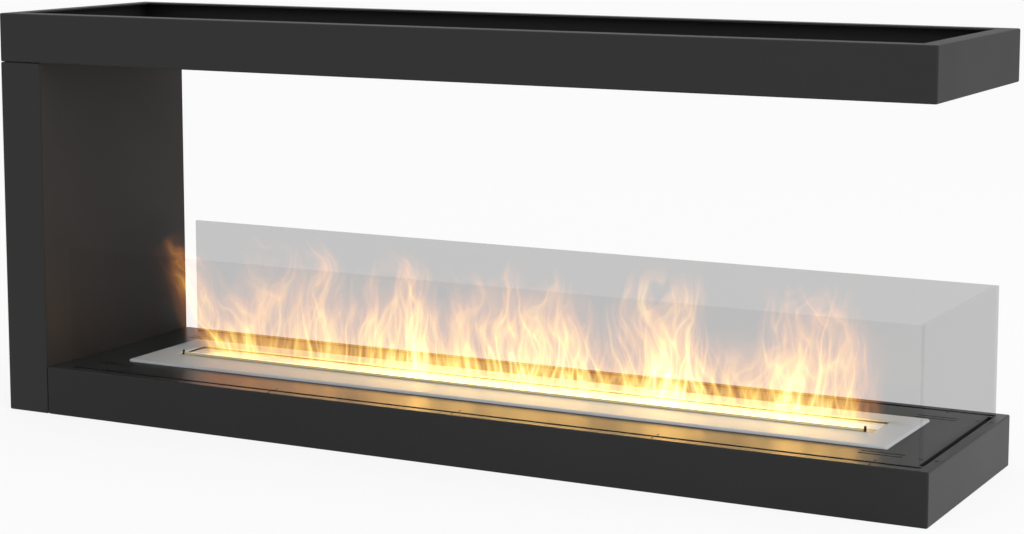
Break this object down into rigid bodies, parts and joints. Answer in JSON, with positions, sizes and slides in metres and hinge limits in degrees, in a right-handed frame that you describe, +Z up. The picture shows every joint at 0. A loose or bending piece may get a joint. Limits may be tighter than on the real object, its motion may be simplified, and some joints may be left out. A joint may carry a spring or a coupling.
{
  "type": "freestanding bioethanol fireplace",
  "caption": "Freestanding three-sided bioethanol fireplace: black steel base, end column and open top box, glass panes, and a lift-out burner with a sliding damper.",
  "frame": {"origin": "on the floor, in the middle of the footprint", "axes": "+X along the fireplace, from the column to the open end; +Y to the back; +Z up"},
  "size_m": [1.2, 0.3, 0.5],
  "materials": {
    "black_steel": "matt black powder coat",
    "panel_steel": "matt black heat-proof paint",
    "frame_steel": "grey primer on tube and plate",
    "zinc_steel": "zinc plated",
    "stainless": "fine brushed along the length",
    "heat_tinted_steel": "darkened by heat",
    "ceramic_fleece": "white fibre felt",
    "clear_glass": "clear toughened glass",
    "grey_glass": "toughened glass with a light grey tint",
    "rubber": "heat-proof black silicone"
  },
  "bodies": {
    "housing": {"base_casing": "black_steel", "base_floor_plate": "black_steel", "base_rail_front": "frame_steel", "base_rail_rear": "frame_steel", "base_screw_1": "zinc_steel", "base_screw_2": "zinc_steel", "base_screw_3": "zinc_steel", "base_screw_4": "zinc_steel", "base_screw_5": "zinc_steel", "base_screw_6": "zinc_steel", "base_screw_7": "zinc_steel", "base_screw_8": "zinc_steel", "glass_channel_front": "frame_steel", "glass_channel_rear": "frame_steel", "glass_channel_side": "frame_steel", "glass_seal_front": "rubber", "glass_seal_rear": "rubber", "glass_seal_side": "rubber", "column_casing": "black_steel", "column_inner_panel": "panel_steel", "column_foot_plate": "frame_steel", "column_head_plate": "frame_steel", "column_post_front": "frame_steel", "column_post_rear": "frame_steel", "rail_bolt_front_1": "zinc_steel", "rail_bolt_front_2": "zinc_steel", "rail_bolt_rear_1": "zinc_steel", "rail_bolt_rear_2": "zinc_steel", "top_box_casing": "black_steel", "top_beam_front": "frame_steel", "top_beam_rear": "frame_steel", "top_tie_left": "frame_steel", "top_tie_right": "frame_steel", "beam_bolt_1": "zinc_steel", "beam_bolt_2": "zinc_steel", "beam_bolt_3": "zinc_steel", "beam_bolt_4": "zinc_steel", "burner_well": "zinc_steel"},
    "front_pane": {"front_glass": "clear_glass"},
    "rear_pane": {"rear_glass": "grey_glass"},
    "side_pane": {"side_glass": "clear_glass"},
    "burner": {"burner_flange": "stainless", "fuel_tank": "stainless", "ceramic_fleece": "ceramic_fleece", "damper_guide_left": "stainless", "damper_guide_right": "stainless"},
    "damper": {"damper_plate": "stainless", "damper_pull_bar": "stainless", "pull_bar_stud_left": "heat_tinted_steel", "pull_bar_stud_right": "heat_tinted_steel"}
  },
  "joints": [
    {"name": "front_pane_lift", "type": "slide", "parent": "housing", "child": "front_pane", "axis": [0, 0, 1], "range_m": [0, 0.06]},
    {"name": "rear_pane_lift", "type": "slide", "parent": "housing", "child": "rear_pane", "axis": [0, 0, 1], "range_m": [0, 0.06]},
    {"name": "side_pane_lift", "type": "slide", "parent": "housing", "child": "side_pane", "axis": [0, 0, 1], "range_m": [0, 0.06]},
    {"name": "burner_lift", "type": "slide", "parent": "housing", "child": "burner", "axis": [0, 0, 1], "range_m": [0, 0.06]},
    {"name": "damper_slide", "type": "slide", "parent": "burner", "child": "damper", "axis": [0, 1, 0], "range_m": [0, 0.038]}
  ]
}
